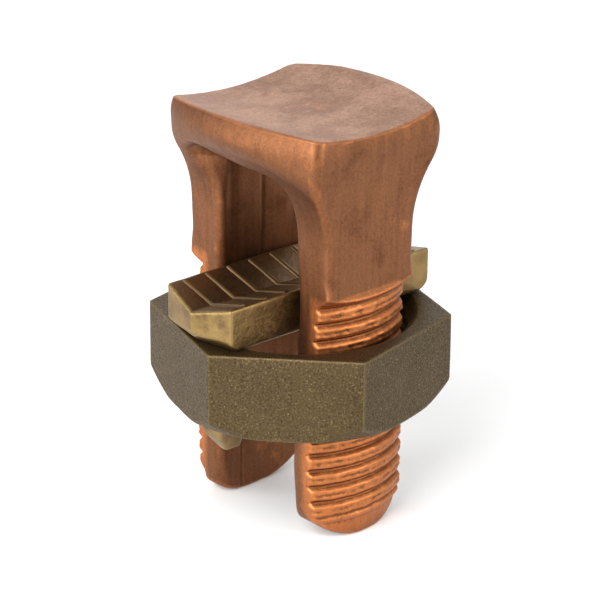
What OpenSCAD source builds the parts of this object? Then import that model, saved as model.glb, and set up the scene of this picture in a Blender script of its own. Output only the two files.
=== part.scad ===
// Split bolt connector: a forged copper bolt, split by a slot from its tips to its head,
// a pressure bar that rides in the slot, and a hex nut that drives the bar at the wires.
// The slot runs along X, the two legs stand either side of it along Y, and the leg tips
// stand on Z = 0.

/* [Split bolt] */
// Height from the leg tips to the lowest point of the dished head
body_h = 51.2; // [49:0.1:56]
// Crest diameter of the thread on the legs
thread_d = 25.8; // [24:0.1:27]
// Distance from one thread crest to the next
thread_pitch = 2.1; // [1.5:0.1:2.5]
// Depth of the thread
thread_depth = 1.1; // [0.5:0.1:1.3]
// Height at which the thread starts above the tips
thread_from = 3.2; // [2:0.1:6]
// Length of the threaded stretch
thread_length = 28.4; // [26:0.1:31]
// Width of each leg along the slot, where it is threaded
leg_w = 14.6; // [13:0.1:15.5]
// Width of each leg along the slot, at the waist under the head
waist_w = 12.4; // [11.4:0.1:13.4]
// Distance over the flat outer faces of the legs, above the thread
leg_over = 25.2; // [24.4:0.1:25.8]
// Slot width between the legs
slot_w = 13.6; // [13:0.1:14.6]
// Radius where the slot turns into the saddle
saddle_r = 3; // [1:0.1:5]
// Thickness of the head at its middle
head_t = 5.4; // [4:0.1:7]
// Length of the head along the slot, at its middle
head_l = 24.6; // [22:0.1:27]
// Length of the head along the slot, at its sides
head_side_l = 18.5; // [16:0.1:20.5]
// Width of the head across the legs
head_w = 26.6; // [26:0.1:28]
// Radius of the dish in the head's top
dish_r = 42.8; // [38:0.1:60]
// Radius of the rounded rim of the head
rim_r = 4; // [2.5:0.1:4.5]
// Radius of the flare from the waist to the head
flare_r = 14.5; // [13:0.1:18]
// Rise of the rounded tip from the middle of a leg to its corners
tip_rise = 2.6; // [1:0.1:3]
// Width of the flat that each tip stands on
tip_flat = 5; // [3:0.1:7]

/* [Nut] */
// Distance across the nut's flats
nut_af = 32; // [31:0.1:35]
// Height of the nut
nut_h = 10.3; // [8:0.1:11.5]
// Height of the nut's lower face above the leg tips
nut_z = 15.7; // [13.5:0.1:16.5]
// Turn of the nut from flats square to the legs
nut_turn = 13; // [0:1:59]
// Radial clearance between the nut and the thread crests
nut_fit = 0.08; // [0.03:0.01:0.1]
// Depth of the countersinks in the nut
nut_sink = 1.2; // [0.4:0.1:1.6]
// Diameter of the nut's lower face, where its corners are rounded off
nut_foot_d = 34.4; // [33:0.1:35.5]
// Height up to which the rounding takes off the corners
nut_chamfer_h = 1.8; // [1:0.1:4]

/* [Pressure bar] */
// Width of the bar
bar_w = 11.8; // [10:0.1:12.4]
// Length of the bar at its corners
bar_l = 30.8; // [27:0.1:32]
// How far each blunt end stands out past its corners
bar_nose = 1.7; // [0.5:0.1:2.5]
// Thickness of the bar at its sides
bar_t = 5.6; // [4.5:0.1:7]
// Depth of the trough in the bar's top
trough = 1.7; // [0.8:0.1:2.2]
// Distance between the grip ridges across the trough
ridge_pitch = 3.4; // [2.6:0.1:4.5]
// Height of the grip ridges
ridge_h = 0.4; // [0.2:0.1:0.8]
// Width of the grip ridges
ridge_w = 0.9; // [0.5:0.1:1.6]
// Width of the two stems that pass down through the nut
stem_w = 5; // [3.5:0.1:6]
// Distance over the outer faces of the stems
stem_over = 24.6; // [23:0.1:24.8]
// Thickness of each stem along the slot
stem_t = 2.4; // [1.8:0.1:3.4]
// Distance over the hooked tips of the stems
hook_over = 28.2; // [26.5:0.1:31]
// Depth of the hooks below the nut
hook_h = 4.8; // [3:0.1:6]
// Clearance between the hooks and the nut's lower face
hook_gap = 0.3; // [0.2:0.1:0.6]

/* [Hidden] */
$fn = 96;
over = 1;                                  // how far cutting solids run past what they cut

copper = "#b0704a";
bronze = "#6e6045";
dark_bronze = "#54422c";

crest_r = thread_d / 2;
groove_w = 0.7 * thread_pitch;             // opening of a thread groove at the crests
turns = floor(thread_length / thread_pitch);
thread_top = thread_from + thread_length;
root_r = crest_r - thread_depth;
// the tips' rounding passes through the edges of their flats and the legs' corners
tip_taper = 0.3;
tip_centre = ((leg_w / 2)^2 - (tip_flat / 2)^2 + tip_rise^2) / (2 * tip_rise);
tip_r = sqrt(tip_centre^2 + (tip_flat / 2)^2);
saddle_z = body_h - head_t;
rim_z = saddle_z + head_t / 2 + rim_r / 3; // the head is widest here
top_z = body_h + dish_r - sqrt(dish_r^2 - (head_l / 2)^2);
// the head's ends are arcs through its sides and its middle
sagitta = (head_l - head_side_l) / 2;
end_r = ((head_w / 2)^2 + sagitta^2) / (2 * sagitta);
end_centre = end_r - head_l / 2;
// the flare leaves the waist here, and runs out in the rounding of the head's rim
rim_lap = 0.4;
flare_run = head_l / 2 - waist_w / 2;
flare_z = rim_z + rim_lap - sqrt(flare_r^2 - max(flare_r - flare_run, 0)^2);
// the outer faces lean out to the head's width over the same height
side_run = (head_w - leg_over) / 2;
side_r = (side_run^2 + (rim_z - flare_z)^2) / (2 * side_run);

nut_top = nut_z + nut_h;
nut_corner_r = nut_af / sqrt(3);
bore_r = crest_r + nut_fit;
// a ball through the rim of the lower face and the corners at the top of the rounding
foot_r = min(nut_foot_d / 2, nut_corner_r - 0.2);
ball_z = (nut_corner_r^2 - foot_r^2 + nut_chamfer_h^2) / (2 * nut_chamfer_h);
ball_r = sqrt(ball_z^2 + foot_r^2);

bar_bottom = nut_top;
bar_top = bar_bottom + bar_t;
nose_x = bar_l / 2 + bar_nose;
hook_top = nut_z - hook_gap;
hook_bottom = hook_top - hook_h;
ridges = floor((bar_l / 2 - ridge_w) / ridge_pitch);

// Points of an arc about a centre, in order from one angle to the other
function arc(centre, r, from, to, steps = 8) =
    [for (i = [0 : steps]) let (a = from + (to - from) * i / steps)
        centre + r * [cos(a), sin(a)]];

// The rounding from the head's widest line up to its top, for a half-width
function rim_points(half) = arc([half - rim_r, rim_z], rim_r, 0, 90);

// Both halves of a shape that is the same on either side of the middle
module both(v) {
    children();
    mirror(v) children();
}

// Outline of the bolt seen across the slot's walls: legs, waist, flare and dished top
module side_outline() {
    difference() {
        translate([-head_l / 2 - over, 0]) square([head_l + 2 * over, rim_z + 2 * rim_r]);
        both([1, 0]) {
            translate([waist_w / 2 + flare_r, flare_z]) circle(flare_r);
            polygon([[leg_w / 2, -over], [leg_w / 2, thread_top], [waist_w / 2, flare_z],
                     [head_l, flare_z], [head_l, -over]]);
        }
        translate([0, body_h + dish_r]) circle(dish_r, $fn = 360);
    }
}

// Outline of the bolt seen along the slot: an arch with its two legs
module front_outline() {
    lean = asin((rim_z - flare_z) / side_r);
    right = [[leg_over / 2, 0], each arc([leg_over / 2 + side_r, flare_z], side_r, 180, 180 - lean),
             each rim_points(head_w / 2)];
    left = [for (i = [len(right) - 1 : -1 : 0]) [-right[i][0], right[i][1]]];
    difference() {
        polygon([each right, each left]);
        slot_outline();
    }
}

// The slot: straight walls that turn into the saddle through rounded corners
module slot_outline() {
    translate([-slot_w / 2, -over]) square([slot_w, saddle_z - saddle_r + over]);
    translate([-slot_w / 2 + saddle_r, -over]) square([slot_w - 2 * saddle_r, saddle_z + over]);
    both([1, 0]) translate([slot_w / 2 - saddle_r, saddle_z - saddle_r]) circle(saddle_r);
}

// One end of the head, rounded over along its arc
module head_end() {
    translate([-end_centre, 0, 0]) rotate_extrude($fn = 360)
        polygon([[0, rim_z + rim_r], [0, 0], [end_r, 0], each rim_points(end_r)]);
}

// Everything within the thread's crests, with the tips rounded over along the slot
module thread_envelope() {
    intersection() {
        cylinder(r = crest_r, h = thread_top);
        rotate([90, 0, 0]) translate([0, tip_centre, -head_w]) cylinder(r = tip_r, h = 2 * head_w);
        // the tips also taper in below the thread
        union() {
            translate([0, 0, thread_from]) cylinder(r = crest_r, h = thread_length);
            cylinder(r1 = root_r - tip_taper * thread_from, r2 = root_r, h = thread_from);
        }
    }
    // above the reach of the tips' rounding the envelope is the plain cylinder
    translate([0, 0, tip_centre]) cylinder(r = crest_r, h = thread_top - tip_centre);
}

// The thread's grooves, as rings
module thread_grooves() {
    rotate_extrude() for (i = [0 : turns - 1])
        translate([crest_r, thread_from + (i + 0.5) * thread_pitch])
            polygon([[over, -groove_w / 2], [0, -groove_w / 2], [-thread_depth, -groove_w / 8],
                     [-thread_depth, groove_w / 8], [0, groove_w / 2], [over, groove_w / 2]]);
}

module split_bolt() {
    color(copper) difference() {
        intersection() {
            rotate([90, 0, 0]) linear_extrude(2 * head_w, center = true) side_outline();
            rotate([90, 0, 90]) linear_extrude(2 * head_l, center = true) front_outline();
            head_end();
            mirror([1, 0, 0]) head_end();
            union() {
                thread_envelope();
                translate([-head_l, -head_w, thread_top])
                    cube([2 * head_l, 2 * head_w, top_z]);
            }
        }
        thread_grooves();
    }
}

// The bar's plan: straight sides with blunt pointed ends
module bar_plan() {
    polygon([[-nose_x, 0], [-bar_l / 2, -bar_w / 2], [bar_l / 2, -bar_w / 2],
             [nose_x, 0], [bar_l / 2, bar_w / 2], [-bar_l / 2, bar_w / 2]]);
}

// The bar: a block with a trough in its top and ridges across the trough
module bar_block() {
    difference() {
        translate([0, 0, bar_bottom]) linear_extrude(bar_t) bar_plan();
        // the trough's bottom lies between the ridges, and its rim keeps the full thickness
        translate([0, 0, bar_bottom]) rotate([90, 0, 90])
            linear_extrude(2 * nose_x + over, center = true)
                polygon([[-bar_w / 2, bar_t], [0, bar_t - trough], [bar_w / 2, bar_t]]);
    }
    // the ridges stand on the trough's two slopes
    intersection() {
        translate([0, 0, bar_bottom]) linear_extrude(bar_t + ridge_h) bar_plan();
        for (i = [-ridges : ridges])
            translate([i * ridge_pitch, 0, bar_bottom]) rotate([90, 0, 90])
                linear_extrude(ridge_w, center = true)
                    polygon([[-bar_w / 2, bar_t - trough - ridge_h], [-bar_w / 2, bar_t],
                             [-bar_w / 2 + ridge_h, bar_t], [0, bar_t - trough + ridge_h],
                             [bar_w / 2 - ridge_h, bar_t], [bar_w / 2, bar_t],
                             [bar_w / 2, bar_t - trough - ridge_h]]);
    }
}

// A stem runs down through the nut beside the legs, and its tip hooks out under the nut
module stem() {
    translate([stem_over / 2 - stem_t, -stem_w / 2, hook_bottom])
        cube([stem_t, stem_w, bar_bottom - hook_bottom + over]);
    rotate([90, 0, 0]) linear_extrude(stem_w, center = true)
        polygon([[stem_over / 2 - stem_t, hook_bottom], [stem_over / 2, hook_bottom],
                 [hook_over / 2, hook_bottom + hook_h / 2], [hook_over / 2, hook_top],
                 [stem_over / 2 - stem_t, hook_top]]);
}

module pressure_bar() {
    color(dark_bronze) union() {
        bar_block();
        both([1, 0, 0]) stem();
    }
}

module hex_nut() {
    color(bronze) translate([0, 0, nut_z]) difference() {
        intersection() {
            rotate(nut_turn) cylinder(r = nut_corner_r, h = nut_h, $fn = 6);
            // the lower corners are rounded off by a ball
            translate([0, 0, ball_z]) sphere(ball_r);
        }
        translate([0, 0, -over]) cylinder(r = bore_r, h = nut_h + 2 * over);
        translate([0, 0, nut_h - nut_sink])
            cylinder(r1 = bore_r, r2 = bore_r + nut_sink + over, h = nut_sink + over);
        translate([0, 0, -over])
            cylinder(r1 = bore_r + nut_sink / 2 + over, r2 = bore_r, h = nut_sink / 2 + over);
    }
}

split_bolt();
pressure_bar();
hex_nut();
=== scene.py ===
"""A split bolt connector: forged copper bolt, cast bronze hex nut and captive pressure bar."""

import math
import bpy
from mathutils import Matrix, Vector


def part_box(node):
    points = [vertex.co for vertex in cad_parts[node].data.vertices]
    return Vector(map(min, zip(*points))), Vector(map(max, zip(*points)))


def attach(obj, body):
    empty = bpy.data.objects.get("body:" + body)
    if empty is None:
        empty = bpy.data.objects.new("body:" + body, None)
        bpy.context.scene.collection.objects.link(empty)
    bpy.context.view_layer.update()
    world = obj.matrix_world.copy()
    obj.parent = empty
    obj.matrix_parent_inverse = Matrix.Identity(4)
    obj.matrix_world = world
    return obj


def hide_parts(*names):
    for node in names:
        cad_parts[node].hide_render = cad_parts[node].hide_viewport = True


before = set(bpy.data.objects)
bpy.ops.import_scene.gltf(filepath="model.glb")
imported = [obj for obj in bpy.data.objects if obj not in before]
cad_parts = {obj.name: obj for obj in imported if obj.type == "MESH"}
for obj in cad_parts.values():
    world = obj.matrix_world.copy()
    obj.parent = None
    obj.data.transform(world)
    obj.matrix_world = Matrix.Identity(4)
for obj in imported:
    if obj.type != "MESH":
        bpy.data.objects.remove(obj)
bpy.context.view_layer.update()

from types import SimpleNamespace

import bpy
import numpy as np
import openvdb
from bpy.props import FloatProperty, FloatVectorProperty, IntProperty, PointerProperty
from mathutils import Matrix, Vector

bl_info = {
    "name": "Split Bolt Connector",
    "version": (1, 0, 0),
    "blender": (4, 5, 0),
    "location": "View3D > Sidebar > Split Bolt",
    "description": "Builds a copper split bolt with its bronze nut and pressure bar",
    "category": "Add Mesh",
}

MM = 0.001
BOLT_LOW, BOLT_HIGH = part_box("split_bolt")
BAR_LOW, BAR_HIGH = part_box("pressure_bar")
NUT_LOW, NUT_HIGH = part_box("hex_nut")


def length(name, default, description):
    """A length that the sidebar shows, in metres."""
    return FloatProperty(name=name, default=default, min=0, description=description,
                         subtype="DISTANCE", unit="LENGTH", precision=5)


def share(name, default, description):
    """A share from 0 to 1 that the sidebar shows."""
    return FloatProperty(name=name, default=default, min=0, max=1, description=description,
                         subtype="FACTOR")


def linear(hex_colour):
    """The linear red, green, blue and alpha of an sRGB hex colour."""
    parts = [int(hex_colour[i:i + 2], 16) / 255 for i in (1, 3, 5)]
    return [c / 12.92 if c <= 0.04045 else ((c + 0.055) / 1.055) ** 2.4 for c in parts] + [1.0]


def colour(name, hex_colour, description):
    """A colour that the sidebar shows."""
    return FloatVectorProperty(name=name, size=4, subtype="COLOR", min=0, max=1,
                               default=linear(hex_colour), description=description)


class ThreadSizes(bpy.types.PropertyGroup):
    """The thread that the bolt and the nut share."""

    crest: length("Crest radius", 0.01305, "Radius of the bolt's thread at its crests")
    pitch: length("Pitch", 0.0021, "Distance from one crest to the next")
    depth: length("Depth", 0.00062, "Depth of the bolt's thread")
    foot: length("Start", 0.0032, "Height at which the thread starts")
    head: length("End", 0.0316, "Height at which the thread runs out")
    play: length("Play", 0.00012, "Radial play between the nut's bore and the crests")


class BoltSizes(bpy.types.PropertyGroup):
    """Sizes of the forged bolt."""

    leg: length("Leg length", 0.0076, "Half the width of a threaded leg along the slot")
    waist: length("Waist", 0.0070, "Half the width of a leg along the slot at its waist")
    waist_height: length("Waist height", 0.0380, "Height of the narrowest part")
    face: length("Outer face", 0.0127, "Distance from the middle to a leg's outer face")
    slot: length("Slot", 0.0067, "Half the width of the slot")
    saddle: length("Saddle height", 0.0458, "Height of the underside of the head")
    saddle_radius: length("Saddle radius", 0.0022, "Radius between the slot's wall and the saddle")
    flare: length("Flare radius", 0.0145, "Radius of the flare from waist to head")
    rim_height: length("Rim height", 0.0498, "Height at which the head is widest")
    head_middle: length("Head, middle", 0.0123, "Half the head's length at its middle")
    far_end: length("Far end", 0.0007, "How much further the head reaches at its far end")
    far_bulge: length("Far bulge", 0.0009, "How much further the far end's middle bulges")
    far_shoulder: length("Far shoulder", 0.0012, "How much lower the shoulder of the far leg is")
    twist: FloatProperty(name="Twist", default=0.035,
                         description="Slope of the dished top across the head")
    head_side: length("Head, side", 0.0094, "Half the head's length at its sides")
    head_width: length("Head width", 0.01345, "Half the head's width")
    dish: length("Dish height", 0.0512, "Height of the lowest point of the dished top")
    dish_radius: length("Dish radius", 0.0428, "Radius of the dish")
    tip_rise: length("Tip rise", 0.0026, "Rise of the rounded tip to its corners")
    tip_shift: length("Tip shift", 0.0012, "How far each tip's lowest point is off its middle")
    tip_flat: length("Tip flat", 0.0025, "Half the width of the flat under a tip")
    voxel: length("Grain", 0.00018, "Size of the cells that the forging is meshed from")
    kept: share("Kept faces", 0.42, "Share of the forging's faces that is kept")


class BarSizes(bpy.types.PropertyGroup):
    """Sizes of the pressure bar."""

    width: length("Width", 0.0059, "Half the width of the bar")
    corner: length("Corners", 0.0159, "Distance from the middle to the corners")
    trough: length("Trough", 0.0017, "Depth of the trough in the top")
    stem: length("Stem width", 0.0025, "Half the width of a stem")
    stem_outside: length("Stem outside", 0.0123, "Distance from the middle to a stem's outside")
    stem_inside: length("Stem inside", 0.0099, "Distance from the middle to a stem's inside")
    hook: length("Hook height", 0.0048, "Height of the hooks under the nut")
    hook_reach: length("Hook reach", 0.0141, "Distance from the middle to a hook's tip")
    ridge_pitch: length("Ridge pitch", 0.0034, "Distance between the grip ridges")
    ridge_radius: length("Ridge radius", 0.00042, "Radius of a grip ridge")
    ridge_sink: length("Ridge sink", 0.0004, "How deep a ridge's middle lies below the bar's top")
    ridge_gap: length("Ridge gap", 0.0005, "Distance from a ridge's end to the bar's side")
    ridges: IntProperty(name="Ridges", default=9, min=1, max=15,
                        description="How many grip ridges cross the trough")
    voxel: length("Grain", 0.00016, "Size of the cells that the casting is meshed from")
    kept: share("Kept faces", 0.6, "Share of the casting's faces that is kept")


class NutSizes(bpy.types.PropertyGroup):
    """Sizes of the hex nut."""

    flat: length("Flat", 0.016, "Distance from the middle to a flat")
    turn: FloatProperty(name="Turn", default=math.radians(13), subtype="ANGLE", unit="ROTATION",
                        description="Turn of the nut at rest")
    foot: length("Foot radius", 0.0163, "Radius of the lower face")
    rounding: length("Corner rounding", 0.0021, "Height of the rounding of the lower corners")
    skirt: length("Skirt", 0.0005, "How far the underside reaches below the hooks' seat")
    recess: length("Recess", 0.0145, "Radius of the recess that the hooks run in")
    sink: length("Countersink", 0.0012, "Depth of the upper countersink")
    rib_radius: length("Rib radius", 0.00048, "Radius of the rib that is the inner thread")
    rib_start: length("Rib start", 0.0012, "Height of the inner thread's start above the seat")
    rib_end: length("Rib end", 0.0018, "Depth of the inner thread's end below the top")
    rib_play: length("Rib play", 0.0001, "How far the rib's middle lies outside the bore")
    rib_steps: IntProperty(name="Rib steps", default=400, min=20, max=2000,
                           description="How many points the inner thread's curve has")
    voxel: length("Grain", 0.00017, "Size of the cells that the casting is meshed from")
    kept: share("Kept faces", 0.4, "Share of the casting's faces that is kept")


class Colours(bpy.types.PropertyGroup):
    """Colours of the three metals."""

    copper: colour("Copper", "#83563A", "Forged copper as it left the bath")
    copper_cut: colour("Cut copper", "#C87C48", "Bright copper in the thread")
    # the oxide colour also paints shade into the hollows
    copper_oxide: colour("Copper oxide", "#5E3B25", "Brown oxide in the hollows")
    # the bloom colour is also painted light on the head's upward faces
    copper_bloom: colour("Copper bloom", "#C09A84", "Pale pinkish bloom on the head")
    bronze: colour("Cast bronze", "#554731", "Olive cast bronze")
    bronze_bright: colour("Bright bronze", "#7C6B4C", "Bronze grains that catch the light")
    bronze_dark: colour("Dark bronze", "#3A3023", "Shaded pits of the casting")
    bar_bronze: colour("Bar", "#8A7048", "Bronze of the bar's sides")
    bar_shade: colour("Bar shade", "#665236", "Darker clouds on the bar's sides")
    tarnish: colour("Tarnish", "#6F583C", "Dark tarnish on the bar")
    # this bright colour also paints the lit facet of each bar end
    brass_edge: colour("Bright edge", "#8E774A", "Bronze rubbed bright on the bar's ends")


# ---------------------------------------------------------------- solids from distance fields

def in_mm(group):
    """The lengths of a property group in millimetres, and its other values as they are."""
    values = {}
    for key in group.__annotations__:
        value = getattr(group, key)
        is_length = group.bl_rna.properties[key].unit == "LENGTH"
        values[key] = value / MM if is_length else value
    return SimpleNamespace(**values)


def overlap(a, b, radius):
    """Distance to what two solids have in common, with their shared edge rounded."""
    corner = np.hypot(np.maximum(a + radius, 0), np.maximum(b + radius, 0))
    return np.minimum(np.maximum(a, b), -radius) + corner


def joined(a, b, radius):
    """Distance to two solids joined, with a fillet between them."""
    return -overlap(-a, -b, radius)


def uneven(x, y, z, size, phase=0.0):
    """A smooth unevenness from -1 to 1 with features of about the given size in mm."""
    k = 2 * math.pi / size
    a = np.sin(k * (x + 0.37 * y) + phase) * np.cos(k * (0.81 * z - 0.4 * y) + 1.7 * phase)
    b = np.sin(k * 0.61 * (z + 0.53 * x) + 2.3 + phase) * np.cos(k * 0.73 * (y - 0.45 * x) + phase)
    return 0.5 * (a + b)


def thread_radius(thread, x, y, z):
    """Radius of the right-hand thread's surface, round crests over narrow grooves."""
    starting, running_out = 0.8, 1.2
    groove_shape, seam_shape, seam_depth, skin = 3, 6, 0.13, 0.06
    turn = z / thread.pitch - np.arctan2(y, x) / (2 * math.pi)
    wave = 0.5 + 0.5 * np.cos(2 * math.pi * turn)
    fade = (np.clip((z - thread.foot) / starting, 0, 1)
            * np.clip((thread.head - z) / running_out, 0, 1))
    # rolling leaves a ragged seam along each crest
    seam = (1 - wave) ** seam_shape * np.clip(0.7 + 0.7 * uneven(x, y, z, 3.4, 0.7), 0, 1)
    ragged = 0.08 * uneven(x, y, z, 2.6, 1.3) + 0.04 * uneven(x, y, z, 1.2, 0.4)
    groove = thread.depth * wave ** groove_shape
    return thread.crest - fade * (groove + seam_depth * seam + ragged + skin)


def bend(distance, voxel):
    """How sharply the surface bends, per mm: above zero on edges, below zero in hollows."""
    result = np.zeros_like(distance)
    inner = (slice(1, -1),) * 3
    for axis in range(3):
        before = [slice(1, -1)] * 3
        after = [slice(1, -1)] * 3
        before[axis], after[axis] = slice(0, -2), slice(2, None)
        result[inner] += distance[tuple(before)] + distance[tuple(after)] - 2 * distance[inner]
    return result / voxel ** 2


def meshed(name, field, low, high, voxel, kept):
    """A closed mesh where the field, a function of x, y and z in mm, is zero.

    It keeps the bend of the surface as an attribute, and the kept share of its faces."""
    band = 3 * voxel
    low = np.array(low) - band
    count = np.ceil((np.array(high) + band - low) / voxel).astype(int) + 1
    x, y, z = (np.float32(low[i]) + np.float32(voxel) * np.arange(count[i], dtype=np.float32)
               for i in range(3))
    distance = field(x[:, None, None], y[None, :, None], z[None, None, :])
    curve = bend(distance, voxel)
    grid = openvdb.FloatGrid(band)
    grid.copyFromArray(np.clip(distance, -band, band).astype(np.float32))
    points, _, quads = grid.convertToPolygons(isovalue=0.0, adaptivity=0.0)
    nearest = np.rint(points).astype(int)
    edges = curve[nearest[:, 0], nearest[:, 1], nearest[:, 2]]
    points = (points * voxel + low) * MM
    mesh = bpy.data.meshes.new(name)
    mesh.from_pydata(points.tolist(), [], quads.tolist())
    mesh.attributes.new("edge", "FLOAT", "POINT").data.foreach_set("value", edges)
    a, b, c = (points[quads[:, i]] for i in range(3))
    if np.einsum("ij,ij->", a, np.cross(b, c)) < 0:
        mesh.flip_normals()
    piece = bpy.data.objects.new(name, mesh)
    bpy.context.scene.collection.objects.link(piece)
    thinner = piece.modifiers.new("thinner", "DECIMATE")
    thinner.ratio = kept
    thinner.use_collapse_triangulate = True
    settled(piece)
    piece.data.polygons.foreach_set("use_smooth", np.ones(len(piece.data.polygons), bool))
    return piece


def settled(piece):
    """Turns what the modifiers make of a piece into its plain mesh."""
    bpy.context.view_layer.update()
    evaluated = piece.evaluated_get(bpy.context.evaluated_depsgraph_get())
    mesh = bpy.data.meshes.new_from_object(evaluated)
    old = piece.data
    piece.modifiers.clear()
    piece.data = mesh
    mesh.name = piece.name
    bpy.data.meshes.remove(old)


def placed(piece, material, body, slot, *nodes):
    """Gives a piece its material and its body, and hides the CAD nodes that it stands for."""
    piece.data.materials.clear()
    piece.data.materials.append(material)
    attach(piece, body)
    if nodes:
        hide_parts(*nodes)


# ---------------------------------------------------------------- trees of nodes

def nodes_tree(name, inputs):
    """A Geometry Nodes tree with the named inputs, its group input and its group output."""
    tree = bpy.data.node_groups.new(name, "GeometryNodeTree")
    tree.interface.new_socket("Geometry", in_out="OUTPUT", socket_type="NodeSocketGeometry")
    for label, kind in inputs.items():
        tree.interface.new_socket(label, in_out="INPUT", socket_type=kind)
    return tree, add(tree, "NodeGroupInput").outputs


def add(tree, kind, inputs=None, **settings):
    """Adds a node with its settings, and links or sets its inputs."""
    node = tree.nodes.new(kind)
    for key, value in settings.items():
        setattr(node, key, value)
    for key, value in (inputs or {}).items():
        if isinstance(value, bpy.types.NodeSocket):
            tree.links.new(value, node.inputs[key])
        else:
            node.inputs[key].default_value = value
    return node


def grown(name, tree, values):
    """An object whose plain mesh is what a tree makes of the values of its inputs."""
    piece = bpy.data.objects.new(name, bpy.data.meshes.new(name))
    bpy.context.scene.collection.objects.link(piece)
    modifier = piece.modifiers.new(name, "NODES")
    modifier.node_group = tree
    for item in tree.interface.items_tree:
        if item.in_out == "INPUT":
            modifier[item.identifier] = values[item.name]
    settled(piece)
    return piece


# ---------------------------------------------------------------- the bolt

def half_length(b, thread, z):
    """Half the width of the bolt along the slot, at each height."""
    smoothing = 1.2
    rise = np.clip(z - b.waist_height, 0, b.flare - 0.5)
    flared = b.waist + b.flare - np.sqrt(b.flare ** 2 - rise ** 2)
    leg = np.interp(z, [0, 4, 10, thread.head - 0.5, b.waist_height],
                    [b.leg - 1.0, b.leg - 0.45, b.leg, b.waist - 0.2, b.waist])
    profile = np.where(z > b.waist_height, flared, leg)
    step = max(1, round(smoothing / (z[1] - z[0])))
    padded = np.pad(profile, step, mode="edge")
    return np.convolve(padded, np.ones(2 * step + 1) / (2 * step + 1), mode="valid")


def bolt_field(b, thread, crown):
    """The forged bolt: legs, waist, flared head, dished top, slot and thread."""
    sagitta = b.head_middle - b.head_side
    end_radius = (b.head_width ** 2 + sagitta ** 2) / (2 * sagitta)
    side_run = b.head_width - b.face
    side_radius = (side_run ** 2 + (b.rim_height - b.waist_height) ** 2) / (2 * side_run)
    tip_centre = (b.leg ** 2 - b.tip_flat ** 2 + b.tip_rise ** 2) / (2 * b.tip_rise)
    tip_radius = math.hypot(tip_centre, b.tip_flat)
    # the shoulder over the thread, and how the thread's radius opens above and closes below it
    shoulder_half, shoulder_step = 0.4, 0.6
    lead_in, lead_run, lead_slope = thread.foot + 0.6, 1.2, 0.22
    opening_height, opening_slope, true_scale = 0.3, 1.3, 0.86
    # the slot's walls: a valley, a crease that wanders, a hollow beside the lip, an opened mouth
    valley_depth, crease_depth, crease_width, crease_wander = 0.3, 0.15, 0.28, 3.4
    wander_foot, wander_run = 12, 20
    lip_place, lip_width, lip_depth = 5.0, 0.7, 0.2
    mouth_start, mouth_run, mouth_foot, mouth_rise, mouth_open = 5.5, 3.5, 39, 6, 0.9
    # how far the rim is drawn in, and the radii of the edges
    face_bow, end_bow = 14, 9
    thread_edge, end_edge, top_edge, tip_edge, sole_edge = 0.25, 1.0, 0.3, 0.5, 0.25
    leg_edge, head_edge, leg_lip, head_lip = 0.3, 1.0, 1.5, 1.15

    def field(x, y, z):
        ax, ay = np.abs(x), np.abs(y)
        into_head = np.clip((z - thread.head) / 3, 0, 1)
        heights = z.ravel()
        reach = half_length(b, thread, heights)[None, None, :]
        slope = np.gradient(reach.ravel(), heights)[None, None, :]
        lengthwise = (ax - reach) / np.sqrt(1 + slope ** 2)
        # outer faces: flat above the thread, leaning out to the head, drawn in over the rim
        lean = np.clip(z - b.waist_height, 0, b.rim_height - b.waist_height)
        over_rim = np.clip(z - b.rim_height, 0, None)
        width = b.face + side_radius - np.sqrt(side_radius ** 2 - lean ** 2)
        width = width - over_rim ** 2 / face_bow
        over_shoulder = z - thread.head + b.far_shoulder * np.clip(y / b.face, 0, 1)
        shoulder = np.clip((shoulder_half - over_shoulder) / (2 * shoulder_half), 0, 1)
        outward = ay - width - shoulder_step * shoulder
        # within the thread's height the legs are turned to the thread's surface
        turned = thread_radius(thread, x, y, z)
        below = np.clip((lead_in - z) / lead_run, 0, 1)
        turned = turned - below * (0.8 * thread.depth + lead_slope * (lead_in - z))
        above = np.clip(over_shoulder + opening_height, 0, None)
        rounded = (np.hypot(x, y) - turned - opening_slope * above) * true_scale
        corner = leg_edge + (head_edge - leg_edge) * into_head
        outer = overlap(overlap(outward, rounded, thread_edge), lengthwise, corner)
        # the head's ends are arcs that bulge to the rim
        fullness = b.far_end + b.far_bulge * (1 - (y / b.head_width) ** 2)
        reach = b.head_middle + fullness * np.clip(x / 6, 0, 1)
        end = np.hypot(ax + end_radius - reach, y) - end_radius + over_rim ** 2 / end_bow
        solid = overlap(outer, end, end_edge)
        # each wall of the slot is a shallow valley with a crease that wanders down it
        high = np.clip((z - wander_foot) / wander_run, 0, 1)
        high = high * high * (3 - 2 * high)
        crease = np.exp(-((x * np.sign(y) + crease_wander * (1 - high)) / crease_width) ** 2)
        beside_lip = high * np.exp(-((ax - lip_place) / lip_width) ** 2)
        valley = (valley_depth * (1 - np.clip(ax / b.leg, 0, 1)) + crease_depth * crease
                  + lip_depth * beside_lip)
        # and the forging is a little twisted: one corner of each mouth is opened wider
        wider = mouth_open * np.clip(-y * np.sign(x) / b.slot, 0, 1)
        mouth = (np.clip(ax - mouth_start, 0, mouth_run)
                 * np.clip((z - mouth_foot) / mouth_rise, 0, 1) * wider)
        void = overlap(ay - b.slot - valley - mouth, z - b.saddle - 0.3 * mouth, b.saddle_radius)
        solid = overlap(solid, -void, leg_lip + (head_lip - leg_lip) * into_head)
        dished = b.dish + b.dish_radius - np.sqrt(b.dish_radius ** 2 - ax ** 2)
        top = np.maximum(z - dished + b.twist * y, z - crown)
        solid = overlap(solid, top, top_edge)
        sheared = x + b.tip_shift * np.sign(y)
        tip = np.where(z < tip_centre, np.hypot(sheared, z - tip_centre) - tip_radius, -5)
        solid = overlap(solid, tip, tip_edge)
        solid = overlap(solid, -z, sole_edge)
        return solid + 0.05 + 0.045 * uneven(x, y, z, 13) + 0.02 * uneven(x, y, z, 4.5, 1.0)

    return field


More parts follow.
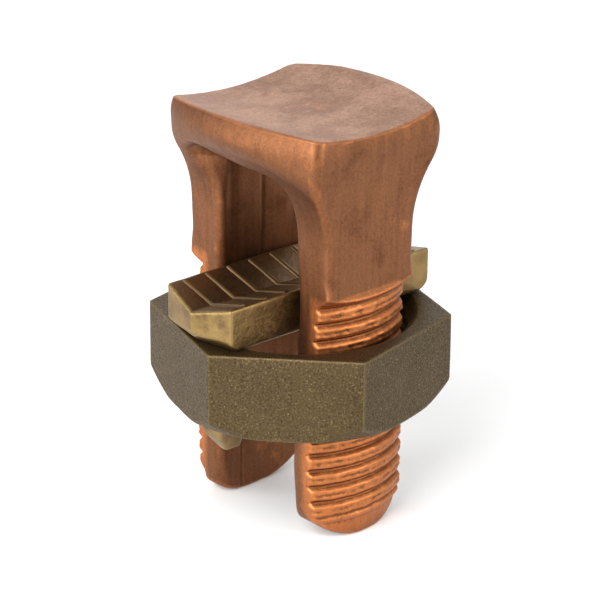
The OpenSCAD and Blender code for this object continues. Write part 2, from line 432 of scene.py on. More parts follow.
class MESH_OT_split_bolt_forging(bpy.types.Operator):
    """Builds the forged copper bolt with its two threaded legs"""

    bl_idname = "mesh.split_bolt_forging"
    bl_label = "Forged bolt"
    bl_options = {"REGISTER", "UNDO"}

    def execute(self, context):
        bolt = in_mm(context.scene.split_bolt)
        thread = in_mm(context.scene.split_thread)
        beyond = Vector((bolt.far_end + bolt.far_bulge, 0, 0))
        piece = meshed("split_bolt_forging", bolt_field(bolt, thread, BOLT_HIGH.z / MM),
                       BOLT_LOW / MM, BOLT_HIGH / MM + beyond, bolt.voxel, bolt.kept)
        placed(piece, forged_copper(context.scene.split_colours, thread, bolt),
               "split_bolt", "forged_copper", "split_bolt")
        return {"FINISHED"}


# ---------------------------------------------------------------- the pressure bar

def bar_field(b, top, bottom, nose, hook_bottom):
    """The bar: a block with a trough, blunt ends, and two stems with hooked tips."""
    slant = math.hypot(b.width, nose - b.corner)
    along, across = b.width / slant, (nose - b.corner) / slant
    hook_top = hook_bottom + b.hook
    # the stems narrow downwards, and the ends' lower edges are chamfered
    taper_slope, chamfer, root = 0.4, 1.1, 1.5
    plan_edge, rim_edge, sole_edge, chamfer_edge = 0.35, 0.35, 0.6, 0.3
    stem_edge, stem_end, hook_edge, hook_end, root_fillet, block_fillet = 0.5, 0.4, 0.4, 0.3, 0.2, 0.5

    def field(x, y, z):
        ax, ay = np.abs(x), np.abs(y)
        blunt = along * (ax - nose) + across * ay
        plan = overlap(ay - b.width, blunt, plan_edge)
        trough = z - (top - b.trough * (1 - ay / b.width))
        upper = overlap(plan, trough * 0.96, rim_edge)
        block = overlap(upper, bottom - z, sole_edge)
        # the lower edge of each blunt end is chamfered
        block = overlap(block, (blunt + (bottom - z) + chamfer) * 0.71, chamfer_edge)
        stem = overlap(ax - b.stem_outside, b.stem_inside - ax, stem_edge)
        taper = b.stem - taper_slope * np.clip(hook_top - z, 0, None)
        stem = overlap(stem, (ay - taper) * 0.93, stem_edge)
        stem = overlap(stem, overlap(z - bottom - root, hook_bottom - z, stem_end), stem_end)
        hook = overlap(ax - b.hook_reach, b.stem_inside - ax, hook_edge)
        hook = overlap(hook, (ay - taper) * 0.93, hook_end)
        hook = overlap(hook, overlap(z - hook_top, hook_bottom - z, hook_end), hook_end)
        # each hook is nipped off at a slant below
        nip = (ax - b.hook_reach) * 0.784 - (z - hook_bottom - 0.5 * b.hook) * 0.62
        hook = overlap(hook, nip, hook_edge)
        solid = joined(block, joined(stem, hook, root_fillet), block_fillet)
        return solid + 0.03 + 0.03 * uneven(x, y, z, 6, 0.4) + 0.015 * uneven(x, y, z, 2.2, 2.0)

    return field


def ridge_tree():
    """Grip ridges: a rounded rib bent into the trough's V, repeated along the bar."""
    tree, given = nodes_tree("grip_ridges", {
        "Count": "NodeSocketInt", "Pitch": "NodeSocketFloat", "Radius": "NodeSocketFloat",
        "Half Width": "NodeSocketFloat", "Trough": "NodeSocketFloat",
        "Height": "NodeSocketFloat", "Material": "NodeSocketMaterial"})
    left = add(tree, "ShaderNodeMath", {0: 0.0, 1: given["Half Width"]}, operation="SUBTRACT")
    start = add(tree, "ShaderNodeCombineXYZ", {"Y": left.outputs[0], "Z": given["Height"]})
    end = add(tree, "ShaderNodeCombineXYZ", {"Y": given["Half Width"], "Z": given["Height"]})
    line = add(tree, "GeometryNodeCurvePrimitiveLine",
               {"Start": start.outputs[0], "End": end.outputs[0]})
    cut = add(tree, "GeometryNodeResampleCurve", {"Curve": line.outputs[0], "Count": 13})
    where = add(tree, "GeometryNodeInputPosition")
    parts = add(tree, "ShaderNodeSeparateXYZ", {0: where.outputs[0]})
    away = add(tree, "ShaderNodeMath", {0: parts.outputs["Y"]}, operation="ABSOLUTE")
    share = add(tree, "ShaderNodeMath", {0: away.outputs[0], 1: given["Half Width"]},
                operation="DIVIDE")
    lower = add(tree, "ShaderNodeMath", {0: share.outputs[0], 1: 1.0}, operation="SUBTRACT")
    drop = add(tree, "ShaderNodeMath", {0: lower.outputs[0], 1: given["Trough"]},
               operation="MULTIPLY")
    offset = add(tree, "ShaderNodeCombineXYZ", {"Z": drop.outputs[0]})
    bent = add(tree, "GeometryNodeSetPosition",
               {"Geometry": cut.outputs[0], "Offset": offset.outputs[0]})
    section = add(tree, "GeometryNodeCurvePrimitiveCircle",
                  {"Resolution": 12, "Radius": given["Radius"]})
    rib = add(tree, "GeometryNodeCurveToMesh",
              {"Curve": bent.outputs[0], "Profile Curve": section.outputs[0], "Fill Caps": True})
    gaps = add(tree, "ShaderNodeMath", {0: given["Count"], 1: 1.0}, operation="SUBTRACT")
    span = add(tree, "ShaderNodeMath", {0: gaps.outputs[0], 1: given["Pitch"]},
               operation="MULTIPLY")
    first = add(tree, "ShaderNodeMath", {0: span.outputs[0], 1: -0.5}, operation="MULTIPLY")
    origin = add(tree, "ShaderNodeCombineXYZ", {"X": first.outputs[0]})
    step = add(tree, "ShaderNodeCombineXYZ", {"X": given["Pitch"]})
    row = add(tree, "GeometryNodeMeshLine",
              {"Count": given["Count"], "Start Location": origin.outputs[0],
               "Offset": step.outputs[0]})
    copies = add(tree, "GeometryNodeInstanceOnPoints",
                 {"Points": row.outputs[0], "Instance": rib.outputs[0]})
    real = add(tree, "GeometryNodeRealizeInstances", {0: copies.outputs[0]})
    smooth = add(tree, "GeometryNodeSetShadeSmooth", {0: real.outputs[0]})
    finish = add(tree, "GeometryNodeSetMaterial",
                 {0: smooth.outputs[0], "Material": given["Material"]})
    add(tree, "NodeGroupOutput", {0: finish.outputs[0]})
    return tree


class MESH_OT_split_bolt_bar(bpy.types.Operator):
    """Builds the pressure bar with its stems, hooks and grip ridges"""

    bl_idname = "mesh.split_bolt_bar"
    bl_label = "Pressure bar"
    bl_options = {"REGISTER", "UNDO"}

    def execute(self, context):
        sizes = context.scene.split_bar
        bar = in_mm(sizes)
        field = bar_field(bar, BAR_HIGH.z / MM, NUT_HIGH.z / MM, BAR_HIGH.x / MM, BAR_LOW.z / MM)
        piece = meshed("pressure_bar_casting", field, BAR_LOW / MM, BAR_HIGH / MM, bar.voxel,
                       bar.kept)
        metal = tarnished_bronze(context.scene.split_colours)
        placed(piece, metal, "pressure_bar", "tarnished_bronze", "pressure_bar")
        worn = worn_ridges(context.scene.split_colours)
        ridges = grown("bar_grip_ridges", ridge_tree(), {
            "Count": sizes.ridges, "Pitch": sizes.ridge_pitch, "Radius": sizes.ridge_radius,
            "Half Width": sizes.width - sizes.ridge_gap, "Trough": sizes.trough * 0.9,
            "Height": BAR_HIGH.z - sizes.ridge_sink, "Material": worn})
        placed(ridges, worn, "pressure_bar", "tarnished_bronze")
        return {"FINISHED"}


# ---------------------------------------------------------------- the nut

def nut_field(n, thread, seat, top):
    """The nut: a hexagon with its lower corners rounded off by a ball, a plain bore and a
    recess in its underside."""
    bottom = seat - n.skirt
    corner = n.flat / math.cos(math.radians(30))
    ball_height = (corner ** 2 - n.foot ** 2 + n.rounding ** 2) / (2 * n.rounding)
    ball_radius = math.hypot(ball_height, n.foot)
    bore = thread.crest + thread.play
    corner_edge, face_edge, ball_edge, bore_edge, recess_edge = 0.12, 0.14, 0.3, 0.2, 0.15
    recess_fillet = 0.1

    def field(x, y, z):
        hexagon = None
        for k in range(3):
            angle = n.turn + math.radians(30 + 60 * k)
            side = np.abs(x * math.cos(angle) + y * math.sin(angle)) - n.flat
            hexagon = side if hexagon is None else overlap(hexagon, side, corner_edge)
        height = np.maximum(z - top, bottom - z)
        block = overlap(hexagon, height, face_edge)
        rho = np.hypot(x, y)
        ball = np.hypot(rho, z - bottom - ball_height) - ball_radius
        block = overlap(block, ball, ball_edge)
        mouth = np.maximum(z - top + n.sink, 0) + 0.5 * np.maximum(bottom + n.sink - z, 0)
        hole = (rho - bore - mouth) * 0.9
        recess = overlap(rho - n.recess, z - seat, recess_fillet)
        solid = overlap(overlap(block, -hole, bore_edge), -recess, recess_edge)
        return solid + 0.02 + 0.02 * uneven(x, y, z, 7, 0.9) + 0.012 * uneven(x, y, z, 1.9, 0.2)

    return field


def helix_tree():
    """The nut's inner thread: a rounded rib that follows a right-hand helix."""
    tree, given = nodes_tree("helical_rib", {
        "Radius": "NodeSocketFloat", "Pitch": "NodeSocketFloat", "Turns": "NodeSocketFloat",
        "Start Angle": "NodeSocketFloat", "Start Height": "NodeSocketFloat",
        "Rib Radius": "NodeSocketFloat", "Steps": "NodeSocketInt",
        "Material": "NodeSocketMaterial"})
    line = add(tree, "GeometryNodeCurvePrimitiveLine", {"End": (0.0, 0.0, 1.0)})
    cut = add(tree, "GeometryNodeResampleCurve",
              {"Curve": line.outputs[0], "Count": given["Steps"]})
    share = add(tree, "GeometryNodeSplineParameter")
    turned = add(tree, "ShaderNodeMath", {0: share.outputs["Factor"], 1: given["Turns"]},
                 operation="MULTIPLY")
    angle = add(tree, "ShaderNodeMath",
                {0: turned.outputs[0], 1: 2 * math.pi, 2: given["Start Angle"]},
                operation="MULTIPLY_ADD")
    cosine = add(tree, "ShaderNodeMath", {0: angle.outputs[0]}, operation="COSINE")
    sine = add(tree, "ShaderNodeMath", {0: angle.outputs[0]}, operation="SINE")
    x = add(tree, "ShaderNodeMath", {0: cosine.outputs[0], 1: given["Radius"]},
            operation="MULTIPLY")
    y = add(tree, "ShaderNodeMath", {0: sine.outputs[0], 1: given["Radius"]},
            operation="MULTIPLY")
    z = add(tree, "ShaderNodeMath",
            {0: turned.outputs[0], 1: given["Pitch"], 2: given["Start Height"]},
            operation="MULTIPLY_ADD")
    where = add(tree, "ShaderNodeCombineXYZ",
                {"X": x.outputs[0], "Y": y.outputs[0], "Z": z.outputs[0]})
    wound = add(tree, "GeometryNodeSetPosition",
                {"Geometry": cut.outputs[0], "Position": where.outputs[0]})
    section = add(tree, "GeometryNodeCurvePrimitiveCircle",
                  {"Resolution": 10, "Radius": given["Rib Radius"]})
    rib = add(tree, "GeometryNodeCurveToMesh",
              {"Curve": wound.outputs[0], "Profile Curve": section.outputs[0], "Fill Caps": True})
    real = add(tree, "GeometryNodeRealizeInstances", {0: rib.outputs[0]})
    smooth = add(tree, "GeometryNodeSetShadeSmooth", {0: real.outputs[0]})
    finish = add(tree, "GeometryNodeSetMaterial",
                 {0: smooth.outputs[0], "Material": given["Material"]})
    add(tree, "NodeGroupOutput", {0: finish.outputs[0]})
    return tree


class MESH_OT_split_bolt_nut(bpy.types.Operator):
    """Builds the cast hex nut and its inner thread"""

    bl_idname = "mesh.split_bolt_nut"
    bl_label = "Hex nut"
    bl_options = {"REGISTER", "UNDO"}

    def execute(self, context):
        thread_sizes = context.scene.split_thread
        sizes = context.scene.split_nut
        nut, thread = in_mm(sizes), in_mm(thread_sizes)
        field = nut_field(nut, thread, NUT_LOW.z / MM, NUT_HIGH.z / MM)
        low = NUT_LOW / MM - Vector((0, 0, nut.skirt))
        piece = meshed("hex_nut_casting", field, low, NUT_HIGH / MM, nut.voxel, nut.kept)
        metal = cast_bronze(context.scene.split_colours)
        placed(piece, metal, "hex_nut", "cast_bronze", "hex_nut")
        # the rib runs in the bolt's grooves
        start = NUT_LOW.z + sizes.rib_start
        turns = (NUT_HIGH.z - sizes.rib_end - start) / thread_sizes.pitch
        rib = grown("nut_inner_thread", helix_tree(), {
            "Radius": thread_sizes.crest + thread_sizes.play + sizes.rib_play,
            "Pitch": thread_sizes.pitch, "Turns": turns,
            "Start Angle": 2 * math.pi * start / thread_sizes.pitch, "Start Height": start,
            "Rib Radius": sizes.rib_radius, "Steps": sizes.rib_steps, "Material": metal})
        placed(rib, metal, "hex_nut", "cast_bronze")
        return {"FINISHED"}


# ---------------------------------------------------------------- materials

def metal_tree(name):
    """A material's tree with its shader, and a way to read places on the piece in mm."""
    material = bpy.data.materials.new(name)
    material.use_nodes = True
    tree = material.node_tree
    tree.nodes.clear()
    shader = add(tree, "ShaderNodeBsdfPrincipled", {"Metallic": 1.0})
    add(tree, "ShaderNodeOutputMaterial", {"Surface": shader.outputs[0]})
    place = add(tree, "ShaderNodeTexCoord")
    scaled = add(tree, "ShaderNodeVectorMath", {0: place.outputs["Object"], "Scale": 1 / MM},
                 operation="SCALE")
    return material, tree, shader, place, scaled.outputs[0]


def grey(value):
    """A grey of the given value."""
    return (value, value, value, 1.0)


def forged_copper(colours, thread, bolt):
    """Forged copper, pickled and lightly oxidised: a satin skin with brown clouds in it.

    The die leaves it slightly uneven, the thread is cut bright, hollows keep brown oxide and painted
    shade, and the head has a pale bloom that is partly painted light on its upward faces."""
    material, tree, shader, place, mm = metal_tree("forged_copper")
    # clouds of oxide, about 6 mm across
    clouds = add(tree, "ShaderNodeTexNoise",
                 {"Vector": mm, "Scale": 1 / 6, "Detail": 5.0, "Roughness": 0.6})
    oxidised = add(tree, "ShaderNodeMapRange",
                   {"Value": clouds.outputs["Fac"], "From Min": 0.45, "From Max": 0.22})
    brown = add(tree, "ShaderNodeMix",
                {"Factor": oxidised.outputs[0], 6: colours.copper, 7: colours.copper_oxide},
                data_type="RGBA")
    clean = add(tree, "ShaderNodeMapRange",
                {"Value": clouds.outputs["Fac"], "From Min": 0.62, "From Max": 0.8})
    base = add(tree, "ShaderNodeMix",
               {"Factor": clean.outputs[0], 6: brown.outputs[2], 7: colours.copper_cut},
               data_type="RGBA")
    # fine streaks drawn along the legs, 0.25 mm wide
    stretched = add(tree, "ShaderNodeMapping", {"Vector": mm, "Scale": (1.0, 1.0, 0.09)})
    streaks = add(tree, "ShaderNodeTexNoise",
                  {"Vector": stretched.outputs[0], "Scale": 1 / 0.6, "Detail": 4.0})
    streak_tone = add(tree, "ShaderNodeMapRange",
                      {"Value": streaks.outputs["Fac"], "From Min": 0.3, "From Max": 0.7,
                       "To Min": 0.72})
    speckle = add(tree, "ShaderNodeTexNoise",
                  {"Vector": mm, "Scale": 1 / 0.3, "Detail": 3.0, "Roughness": 0.7})
    speckle_tone = add(tree, "ShaderNodeMapRange",
                       {"Value": speckle.outputs["Fac"], "From Min": 0.32, "From Max": 0.6,
                        "To Min": 0.6})
    # the thread is cut bright
    parts = add(tree, "ShaderNodeSeparateXYZ", {0: mm})
    flat_place = add(tree, "ShaderNodeCombineXYZ",
                     {"X": parts.outputs["X"], "Y": parts.outputs["Y"]})
    radius = add(tree, "ShaderNodeVectorMath", {0: flat_place.outputs[0]}, operation="LENGTH")
    in_thread = add(tree, "ShaderNodeMapRange",
                    {"Value": radius.outputs["Value"], "From Min": thread.crest - 1.7,
                     "From Max": thread.crest - 1.0})
    under = add(tree, "ShaderNodeMapRange",
                {"Value": parts.outputs["Z"], "From Min": thread.head + 0.8,
                 "From Max": thread.head - 0.2})
    cut = add(tree, "ShaderNodeMath", {0: in_thread.outputs[0], 1: under.outputs[0]},
              operation="MULTIPLY")
    cut_share = add(tree, "ShaderNodeMath", {0: cut.outputs[0], 1: 0.75}, operation="MULTIPLY")
    threaded = add(tree, "ShaderNodeMix",
                   {"Factor": cut_share.outputs[0], 6: base.outputs[2],
                    7: colours.copper_cut}, data_type="RGBA")
    # pale bloom on the dished top, partly painted light: the upward faces are painted paler
    facing = add(tree, "ShaderNodeSeparateXYZ", {0: place.outputs["Normal"]})
    upward = add(tree, "ShaderNodeMapRange",
                 {"Value": facing.outputs["Z"], "From Min": 0.55, "From Max": 0.95})
    high = add(tree, "ShaderNodeMapRange",
               {"Value": parts.outputs["Z"], "From Min": bolt.rim_height,
                "From Max": bolt.rim_height + 1})
    # the upward mask makes this partly painted top light as well as bloom
    bloom = add(tree, "ShaderNodeMath", {0: upward.outputs[0], 1: high.outputs[0]},
                operation="MULTIPLY")
    patchy = add(tree, "ShaderNodeMapRange",
                 {"Value": clouds.outputs["Fac"], "From Min": 0.4, "From Max": 0.6,
                  "To Min": 1.0, "To Max": 0.35})
    bloomed = add(tree, "ShaderNodeMath", {0: bloom.outputs[0], 1: patchy.outputs[0]},
                  operation="MULTIPLY")
    skin = add(tree, "ShaderNodeMix",
               {"Factor": bloomed.outputs[0], 6: threaded.outputs[2], 7: colours.copper_bloom},
               data_type="RGBA")
    toned = add(tree, "ShaderNodeMix",
                {"Factor": 0.75, 6: skin.outputs[2], 7: streak_tone.outputs[0]},
                data_type="RGBA", blend_type="MULTIPLY")
    speckled = add(tree, "ShaderNodeMix",
                   {"Factor": 0.7, 6: toned.outputs[2], 7: speckle_tone.outputs[0]},
                   data_type="RGBA", blend_type="MULTIPLY")
    # oxide and painted shade darken the hollows, and raised edges are rubbed bright
    bent = add(tree, "ShaderNodeAttribute", attribute_name="edge").outputs["Fac"]
    hollow = add(tree, "ShaderNodeMapRange",
                 {"Value": bent, "From Min": -0.35, "From Max": -1.6,
                  "To Max": 0.7})
    edge = add(tree, "ShaderNodeMapRange",
               {"Value": bent, "From Min": 0.9, "From Max": 2.6,
                "To Max": 0.35})
    darker = add(tree, "ShaderNodeMix",
                 {"Factor": hollow.outputs[0], 6: speckled.outputs[2], 7: colours.copper_oxide},
                 data_type="RGBA")
    rubbed = add(tree, "ShaderNodeMix",
                 {"Factor": edge.outputs[0], 6: darker.outputs[2], 7: colours.copper_cut},
                 data_type="RGBA")
    tree.links.new(rubbed.outputs[2], shader.inputs["Base Color"])
    gloss = add(tree, "ShaderNodeMapRange",
                {"Value": clouds.outputs["Fac"], "From Min": 0.3, "From Max": 0.7,
                 "To Min": 0.56, "To Max": 0.44})
    duller = add(tree, "ShaderNodeMath",
                 {0: bloomed.outputs[0], 1: 0.12, 2: gloss.outputs[0]}, operation="MULTIPLY_ADD")
    tree.links.new(duller.outputs[0], shader.inputs["Roughness"])
    # die marks of 0.5 mm and the streaks, raised by hundredths of a millimetre
    pits = add(tree, "ShaderNodeTexNoise",
               {"Vector": mm, "Scale": 1 / 0.5, "Detail": 6.0, "Roughness": 0.65})
    relief = add(tree, "ShaderNodeMath",
                 {0: streaks.outputs["Fac"], 1: 0.6, 2: pits.outputs["Fac"]},
                 operation="MULTIPLY_ADD")
    bump = add(tree, "ShaderNodeBump",
               {"Strength": 0.5, "Distance": 0.06 * MM, "Height": relief.outputs[0]})
    tree.links.new(bump.outputs[0], shader.inputs["Normal"])
    return material


def cast_bronze(colours):
    """Sand-cast silicon bronze: an olive skin with a fine grain that glitters and pits."""
    material, tree, shader, _, mm = metal_tree("sand_cast_bronze")
    # sand grains of about 0.3 mm, drawn as coarse as they need to show
    grain = add(tree, "ShaderNodeTexNoise",
                {"Vector": mm, "Scale": 1 / 0.22, "Detail": 2.0, "Roughness": 0.6})
    clouds = add(tree, "ShaderNodeTexNoise", {"Vector": mm, "Scale": 1 / 7, "Detail": 3.0})
    pitted = add(tree, "ShaderNodeMapRange",
                 {"Value": grain.outputs["Fac"], "From Min": 0.46, "From Max": 0.3})
    shaded = add(tree, "ShaderNodeMix",
                 {"Factor": pitted.outputs[0], 6: colours.bronze, 7: colours.bronze_dark},
                 data_type="RGBA")
    glitter = add(tree, "ShaderNodeMapRange",
                  {"Value": grain.outputs["Fac"], "From Min": 0.58, "From Max": 0.72})
    base = add(tree, "ShaderNodeMix",
               {"Factor": glitter.outputs[0], 6: shaded.outputs[2], 7: colours.bronze_bright},
               data_type="RGBA")
    cloud_tone = add(tree, "ShaderNodeMapRange",
                     {"Value": clouds.outputs["Fac"], "From Min": 0.3, "From Max": 0.7,
                      "To Min": 0.8})
    toned = add(tree, "ShaderNodeMix",
                {"Factor": 0.8, 6: base.outputs[2], 7: cloud_tone.outputs[0]},
                data_type="RGBA", blend_type="MULTIPLY")
    bent = add(tree, "ShaderNodeAttribute", attribute_name="edge").outputs["Fac"]
    edge = add(tree, "ShaderNodeMapRange",
               {"Value": bent, "From Min": 1.2, "From Max": 4.0,
                "To Max": 0.4})
    rubbed = add(tree, "ShaderNodeMix",
                 {"Factor": edge.outputs[0], 6: toned.outputs[2], 7: colours.bronze_bright},
                 data_type="RGBA")
    tree.links.new(rubbed.outputs[2], shader.inputs["Base Color"])
    gloss = add(tree, "ShaderNodeMapRange",
                {"Value": grain.outputs["Fac"], "From Min": 0.35, "From Max": 0.7,
                 "To Min": 0.62, "To Max": 0.42})
    tree.links.new(gloss.outputs[0], shader.inputs["Roughness"])
    bump = add(tree, "ShaderNodeBump",
               {"Strength": 0.9, "Distance": 0.12 * MM, "Height": grain.outputs["Fac"]})
    tree.links.new(bump.outputs[0], shader.inputs["Normal"])
    return material


def tarnished_bronze(colours):
    """Cast bronze, darker in its trough, with bright rubbed ends on which the facet facing the light
    is painted lighter.
    """
    material, tree, shader, place, mm = metal_tree("tarnished_bronze")
    grain = add(tree, "ShaderNodeTexNoise",
                {"Vector": mm, "Scale": 1 / 0.5, "Detail": 4.0, "Roughness": 0.65})
    clouds = add(tree, "ShaderNodeTexNoise",
                 {"Vector": mm, "Scale": 1 / 3.5, "Detail": 4.0, "Roughness": 0.6})
    clouded = add(tree, "ShaderNodeMapRange",
                  {"Value": clouds.outputs["Fac"], "From Min": 0.3, "From Max": 0.6})
    sides = add(tree, "ShaderNodeMix",
                {"Factor": clouded.outputs[0], 6: colours.bar_shade, 7: colours.bar_bronze},
                data_type="RGBA")
    # the trough, which lies below the bar's rim, is darker where the bar faces upwards
    facing = add(tree, "ShaderNodeSeparateXYZ", {0: place.outputs["Normal"]})
    upward = add(tree, "ShaderNodeMapRange",
                 {"Value": facing.outputs["Z"], "From Min": 0.6, "From Max": 0.9})
    dark = add(tree, "ShaderNodeMix",
               {"Factor": upward.outputs[0], 6: sides.outputs[2], 7: colours.tarnish},
               data_type="RGBA")
    # the blunt ends face along the slot and are rubbed bright
    outward = add(tree, "ShaderNodeMath", {0: facing.outputs["X"]}, operation="ABSOLUTE")
    at_end = add(tree, "ShaderNodeMapRange",
                 {"Value": outward.outputs[0], "From Min": 0.8, "From Max": 0.95,
                  "To Max": 0.85})
    patches = add(tree, "ShaderNodeMapRange",
                  {"Value": clouds.outputs["Fac"], "From Min": 0.35, "From Max": 0.55})
    # one facet of each end is painted lighter than the other: painted light on the lit facet
    side = add(tree, "ShaderNodeMath", {0: facing.outputs["X"], 1: facing.outputs["Y"]},
               operation="MULTIPLY")
    rubbed_side = add(tree, "ShaderNodeMapRange",
                      {"Value": side.outputs[0], "From Min": -0.15, "From Max": 0.15,
                       "To Min": 0.15})
    polish = add(tree, "ShaderNodeMath", {0: at_end.outputs[0], 1: rubbed_side.outputs[0]},
                 operation="MULTIPLY")
    bright = add(tree, "ShaderNodeMath", {0: polish.outputs[0], 1: patches.outputs[0]},
                 operation="MULTIPLY")
    ends = add(tree, "ShaderNodeMix",
               {"Factor": bright.outputs[0], 6: dark.outputs[2], 7: colours.brass_edge},
               data_type="RGBA")
    bent = add(tree, "ShaderNodeAttribute", attribute_name="edge").outputs["Fac"]
    edge = add(tree, "ShaderNodeMapRange",
               {"Value": bent, "From Min": 0.7, "From Max": 2.5,
                "To Max": 0.7})
    rubbed = add(tree, "ShaderNodeMix",
                 {"Factor": edge.outputs[0], 6: ends.outputs[2], 7: colours.brass_edge},
                 data_type="RGBA")
    tree.links.new(rubbed.outputs[2], shader.inputs["Base Color"])
    gloss = add(tree, "ShaderNodeMapRange",
                {"Value": grain.outputs["Fac"], "From Min": 0.35, "From Max": 0.65,
                 "To Min": 0.5, "To Max": 0.34})
    tree.links.new(gloss.outputs[0], shader.inputs["Roughness"])
    bump = add(tree, "ShaderNodeBump",
               {"Strength": 0.7, "Distance": 0.1 * MM, "Height": grain.outputs["Fac"]})
    tree.links.new(bump.outputs[0], shader.inputs["Normal"])
    return material


def worn_ridges(colours):
    """The ridges' tops: tarnished bronze rubbed bright where wires have pressed on it, with a painted
    highlight on each ridge's upward face.
    """
    material, tree, shader, place, mm = metal_tree("worn_bronze_ridges")
    rub = add(tree, "ShaderNodeTexNoise",
              {"Vector": mm, "Scale": 1 / 1.4, "Detail": 4.0, "Roughness": 0.7})
    facing = add(tree, "ShaderNodeSeparateXYZ", {0: place.outputs["Normal"]})
    upward = add(tree, "ShaderNodeMapRange",
                 {"Value": facing.outputs["Z"], "From Min": 0.75, "From Max": 0.98})
    patches = add(tree, "ShaderNodeMapRange",
                  {"Value": rub.outputs["Fac"], "From Min": 0.38, "From Max": 0.58,
                   "To Min": 0.3})
    # ridge tops that face upwards are painted bright: rubbed wear and a painted highlight
    bright = add(tree, "ShaderNodeMath", {0: upward.outputs[0], 1: patches.outputs[0]},
                 operation="MULTIPLY")
    tone = add(tree, "ShaderNodeMix",
               {"Factor": bright.outputs[0], 6: colours.tarnish, 7: colours.bronze_bright},
               data_type="RGBA")
    tree.links.new(tone.outputs[2], shader.inputs["Base Color"])
    shader.inputs["Roughness"].default_value = 0.42
    return material


# ---------------------------------------------------------------- the stage

# each lamp's name, place, size in metres and power in watts
LAMPS = (("key", (-0.37, -0.10, 0.29), 0.34, 2.7),
         ("side", (-0.42, 0.24, 0.13), 0.25, 1.1),
         ("slot", (-0.40, -0.20, 0.07), 0.2, 0.5),
         ("fill", (0.12, -0.42, 0.20), 0.25, 1.35),
         ("back", (0.30, 0.36, 0.24), 0.5, 0.7))
LAMP_TARGET = (0, 0, 0.027)
SURROUNDINGS = 0.68
FLOOR_SIDE = 1.5
# from where to where the floor turns from matt to plain white
FLOOR_NEAR, FLOOR_FAR = 0.14, 0.28
CAMERA_AZIMUTH, CAMERA_ELEVATION, CAMERA_ROLL = (math.radians(v) for v in (-41.5, 22.4, 0.5))
CAMERA_TARGET, CAMERA_DISTANCE = Vector((0, 0, 0.0269)), 0.3396
CAMERA_LENS, CAMERA_SENSOR = 168, 36


def soft_lamp(name, place, size, power):
    """A square soft box at a place, aimed at the piece."""
    light = bpy.data.lights.new(name, "AREA")
    light.size = size
    light.energy = power
    lamp = bpy.data.objects.new(name, light)
    aim = (Vector(LAMP_TARGET) - Vector(place)).to_track_quat("-Z", "Y")
    lamp.matrix_world = Matrix.Translation(place) @ aim.to_matrix().to_4x4()
    bpy.context.scene.collection.objects.link(lamp)


def white_for_viewer(tree, shader):
    """Mixes a shader with plain white where the camera sees it, also through glass."""
    path = add(tree, "ShaderNodeLightPath")
    seen = add(tree, "ShaderNodeMath",
               {0: path.outputs["Is Camera Ray"], 1: path.outputs["Is Transmission Ray"]},
               operation="MAXIMUM")
    white = add(tree, "ShaderNodeBackground", {"Color": grey(1.0), "Strength": 1.0})
    mixed = add(tree, "ShaderNodeMixShader",
                {"Fac": seen.outputs[0], 1: shader, 2: white.outputs[0]})
    return mixed.outputs[0]


def pale_floor():
    """A pale matt floor that keeps the shadow near the piece and is plain white beyond."""
    material = bpy.data.materials.new("pale_floor")
    material.use_nodes = True
    tree = material.node_tree
    tree.nodes.clear()
    matt = add(tree, "ShaderNodeBsdfPrincipled", {"Base Color": grey(0.86), "Roughness": 0.9})
    white = add(tree, "ShaderNodeEmission", {"Color": grey(1.0), "Strength": 1.0})
    place = add(tree, "ShaderNodeTexCoord")
    away = add(tree, "ShaderNodeVectorMath", {0: place.outputs["Object"]}, operation="LENGTH")
    far = add(tree, "ShaderNodeMapRange",
              {"Value": away.outputs["Value"], "From Min": FLOOR_NEAR,
               "From Max": FLOOR_FAR})
    path = add(tree, "ShaderNodeLightPath")
    share = add(tree, "ShaderNodeMath", {0: far.outputs[0], 1: path.outputs["Is Camera Ray"]},
                operation="MULTIPLY")
    mixed = add(tree, "ShaderNodeMixShader",
                {"Fac": share.outputs[0], 1: matt.outputs[0], 2: white.outputs[0]})
    add(tree, "ShaderNodeOutputMaterial", {"Surface": mixed.outputs[0]})
    return material


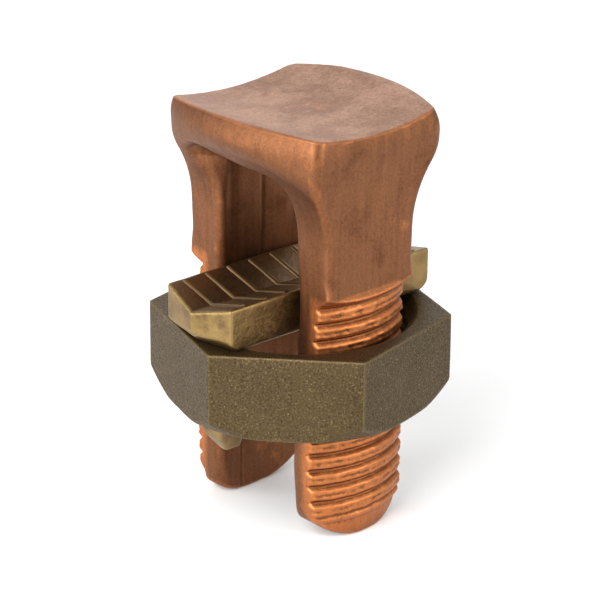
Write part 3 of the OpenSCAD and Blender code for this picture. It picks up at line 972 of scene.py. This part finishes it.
class SCENE_OT_split_bolt_stage(bpy.types.Operator):
    """Sets up the floor, the soft lamps, the white surroundings and the camera"""

    bl_idname = "scene.split_bolt_stage"
    bl_label = "Stage"
    bl_options = {"REGISTER", "UNDO"}

    def execute(self, context):
        scene = context.scene
        world = bpy.data.worlds.new("soft_white")
        world.use_nodes = True
        tree = world.node_tree
        tree.nodes.clear()
        light = add(tree, "ShaderNodeBackground", {"Color": grey(1.0), "Strength": SURROUNDINGS})
        add(tree, "ShaderNodeOutputWorld", {0: white_for_viewer(tree, light.outputs[0])})
        scene.world = world
        floor_mesh = bpy.data.meshes.new("floor")
        side = FLOOR_SIDE
        floor_mesh.from_pydata([(-side, -side, 0), (side, -side, 0), (side, side, 0),
                                (-side, side, 0)], [], [(0, 1, 2, 3)])
        floor = bpy.data.objects.new("floor", floor_mesh)
        scene.collection.objects.link(floor)
        floor_mesh.materials.append(pale_floor())
        for lamp in LAMPS:
            soft_lamp(*lamp)
        camera_data = bpy.data.cameras.new("camera")
        camera_data.lens = CAMERA_LENS
        camera_data.sensor_width = CAMERA_SENSOR
        camera = bpy.data.objects.new("camera", camera_data)
        level = math.cos(CAMERA_ELEVATION)
        back = Vector((math.sin(CAMERA_AZIMUTH) * level, -math.cos(CAMERA_AZIMUTH) * level,
                       math.sin(CAMERA_ELEVATION)))
        aim = back.to_track_quat("Z", "Y").to_matrix().to_4x4()
        camera.matrix_world = (Matrix.Translation(CAMERA_TARGET + CAMERA_DISTANCE * back)
                               @ aim @ Matrix.Rotation(CAMERA_ROLL, 4, "Z"))
        scene.collection.objects.link(camera)
        scene.camera = camera
        scene.view_settings.view_transform = "Standard"
        return {"FINISHED"}


# ---------------------------------------------------------------- the add-on

OPERATORS = (MESH_OT_split_bolt_forging, MESH_OT_split_bolt_bar, MESH_OT_split_bolt_nut,
             SCENE_OT_split_bolt_stage)
GROUPS = {"split_thread": ThreadSizes, "split_bolt": BoltSizes, "split_bar": BarSizes,
          "split_nut": NutSizes, "split_colours": Colours}


class VIEW3D_PT_split_bolt(bpy.types.Panel):
    """Lists the sizes, colours and operators in the sidebar"""

    bl_idname = "VIEW3D_PT_split_bolt"
    bl_label = "Split Bolt"
    bl_space_type = "VIEW_3D"
    bl_region_type = "UI"
    bl_category = "Split Bolt"

    def draw(self, context):
        for operator in OPERATORS:
            self.layout.operator(operator.bl_idname)
        for name, group in GROUPS.items():
            box = self.layout.box()
            for key in group.__annotations__:
                box.prop(getattr(context.scene, name), key)


def register():
    for group in GROUPS.values():
        bpy.utils.register_class(group)
    for name, group in GROUPS.items():
        setattr(bpy.types.Scene, name, PointerProperty(type=group))
    for item in (*OPERATORS, VIEW3D_PT_split_bolt):
        bpy.utils.register_class(item)


def unregister():
    for item in (VIEW3D_PT_split_bolt, *reversed(OPERATORS)):
        bpy.utils.unregister_class(item)
    for name, group in reversed(GROUPS.items()):
        delattr(bpy.types.Scene, name)
        bpy.utils.unregister_class(group)


def main():
    """Builds every piece and the stage."""
    register()
    bpy.ops.mesh.split_bolt_forging()
    bpy.ops.mesh.split_bolt_bar()
    bpy.ops.mesh.split_bolt_nut()
    bpy.ops.scene.split_bolt_stage()


if __name__ == "__main__":
    main()
